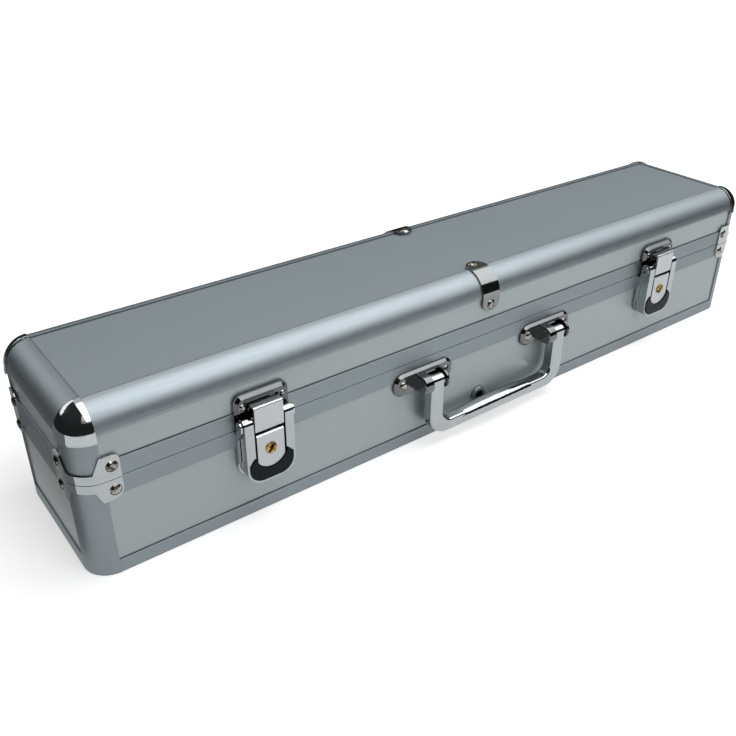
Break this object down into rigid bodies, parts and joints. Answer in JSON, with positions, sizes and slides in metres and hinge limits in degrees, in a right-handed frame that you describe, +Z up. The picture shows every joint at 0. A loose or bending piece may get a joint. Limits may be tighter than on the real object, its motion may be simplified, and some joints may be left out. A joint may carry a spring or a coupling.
{
  "type": "flute case",
  "caption": "Slim aluminium-framed case with a hinged lid, draw latches with key locks, a swinging handle and a shaped tray for a flute's joints.",
  "frame": {"origin": "centre of the case's underside, on the surface it rests on", "axes": "+X along the case, to the right seen from the front; the front face with latches and handle looks to -Y; +Z up"},
  "size_m": [0.5242, 0.119, 0.0991],
  "materials": {
    "satin_aluminium": "satin anodised extrusion",
    "side_laminate": "4 mm fibreboard faced with fine satin silver-grey laminate",
    "top_laminate": "4 mm fibreboard faced with satin grey laminate",
    "chrome": "bright chrome plating",
    "satin_nickel": "satin nickel plating",
    "steel": "bright steel",
    "brass": "turned brass",
    "black_plastic": "black gloss moulding",
    "black_velvet": "short black pile over foam"
  },
  "bodies": {
    "base": {"base_corner_brackets": "chrome", "base_corner_posts": "satin_aluminium", "base_frame_back": "satin_aluminium", "base_frame_front": "satin_aluminium", "base_frame_left": "satin_aluminium", "base_frame_right": "satin_aluminium", "base_panel_back": "side_laminate", "base_panel_front": "side_laminate", "base_panel_left": "side_laminate", "base_panel_right": "side_laminate", "base_rivets": "steel", "bottom_edges_long": "satin_aluminium", "bottom_edges_short": "satin_aluminium", "bottom_panel": "side_laminate", "flute_tray": "black_velvet", "handle_bracket_left": "chrome", "handle_bracket_right": "chrome", "handle_buffer": "black_plastic", "handle_pins": "steel", "hinge_base_leaves": "chrome", "hinge_pins": "steel", "latch_left_base_plate": "chrome", "latch_lever_pins": "steel", "latch_right_base_plate": "chrome"},
    "lid": {"hinge_lid_leaves": "chrome", "latch_left_strike": "chrome", "latch_right_strike": "chrome", "lid_ball_corners": "chrome", "lid_corner_brackets": "chrome", "lid_corner_posts": "satin_aluminium", "lid_frame_back": "satin_aluminium", "lid_frame_front": "satin_aluminium", "lid_frame_left": "satin_aluminium", "lid_frame_right": "satin_aluminium", "lid_pad": "black_velvet", "lid_panel_back": "side_laminate", "lid_panel_front": "side_laminate", "lid_panel_left": "side_laminate", "lid_panel_right": "side_laminate", "lid_rivets": "steel", "lid_round_edge_back": "satin_aluminium", "lid_round_edge_front": "satin_aluminium", "lid_round_edge_left": "satin_aluminium", "lid_round_edge_right": "satin_aluminium", "lid_strap_back": "chrome", "lid_strap_front": "chrome", "lid_top_panel": "top_laminate"},
    "handle": {"handle": "chrome"},
    "latch_left_lever": {"latch_left_lever": "chrome", "latch_left_lock_housing": "satin_nickel", "latch_left_thumb_pad": "black_plastic", "latch_left_claw_pin": "steel"},
    "latch_left_claw": {"latch_left_claw": "satin_nickel"},
    "latch_left_lock": {"latch_left_lock_plug": "brass"},
    "latch_right_lever": {"latch_right_lever": "chrome", "latch_right_lock_housing": "satin_nickel", "latch_right_thumb_pad": "black_plastic", "latch_right_claw_pin": "steel"},
    "latch_right_claw": {"latch_right_claw": "satin_nickel"},
    "latch_right_lock": {"latch_right_lock_plug": "brass"}
  },
  "joints": [
    {"name": "lid_hinge", "type": "hinge", "parent": "base", "child": "lid", "pos_m": [0, 0.0529, 0.0576], "axis": [-1, 0, 0], "range_deg": [0, 100]},
    {"name": "handle_swing", "type": "hinge", "parent": "base", "child": "handle", "pos_m": [0, -0.0576, 0.045], "axis": [-1, 0, 0], "range_deg": [0, 90]},
    {"name": "latch_left_lever_turn", "type": "hinge", "parent": "base", "child": "latch_left_lever", "pos_m": [-0.1608, -0.05495, 0.0626], "axis": [-1, 0, 0], "range_deg": [0, 90]},
    {"name": "latch_left_claw_turn", "type": "hinge", "parent": "latch_left_lever", "child": "latch_left_claw", "pos_m": [-0.1608, -0.05715, 0.0594], "axis": [-1, 0, 0], "range_deg": [-99, 0]},
    {"name": "latch_left_lock_turn", "type": "hinge", "parent": "latch_left_lever", "child": "latch_left_lock", "pos_m": [-0.1608, -0.0586, 0.0456], "axis": [0, -1, 0], "range_deg": [0, 90]},
    {"name": "latch_right_lever_turn", "type": "hinge", "parent": "base", "child": "latch_right_lever", "pos_m": [0.1608, -0.05495, 0.0626], "axis": [-1, 0, 0], "range_deg": [0, 90]},
    {"name": "latch_right_claw_turn", "type": "hinge", "parent": "latch_right_lever", "child": "latch_right_claw", "pos_m": [0.1608, -0.05715, 0.0594], "axis": [-1, 0, 0], "range_deg": [-99, 0]},
    {"name": "latch_right_lock_turn", "type": "hinge", "parent": "latch_right_lever", "child": "latch_right_lock", "pos_m": [0.1608, -0.0586, 0.0456], "axis": [0, -1, 0], "range_deg": [0, 90]}
  ],
  "couplings": [
    {"joint": "latch_left_claw_turn", "follows": "latch_left_lever_turn", "ratio": -1.1},
    {"joint": "latch_right_claw_turn", "follows": "latch_right_lever_turn", "ratio": -1.1}
  ]
}
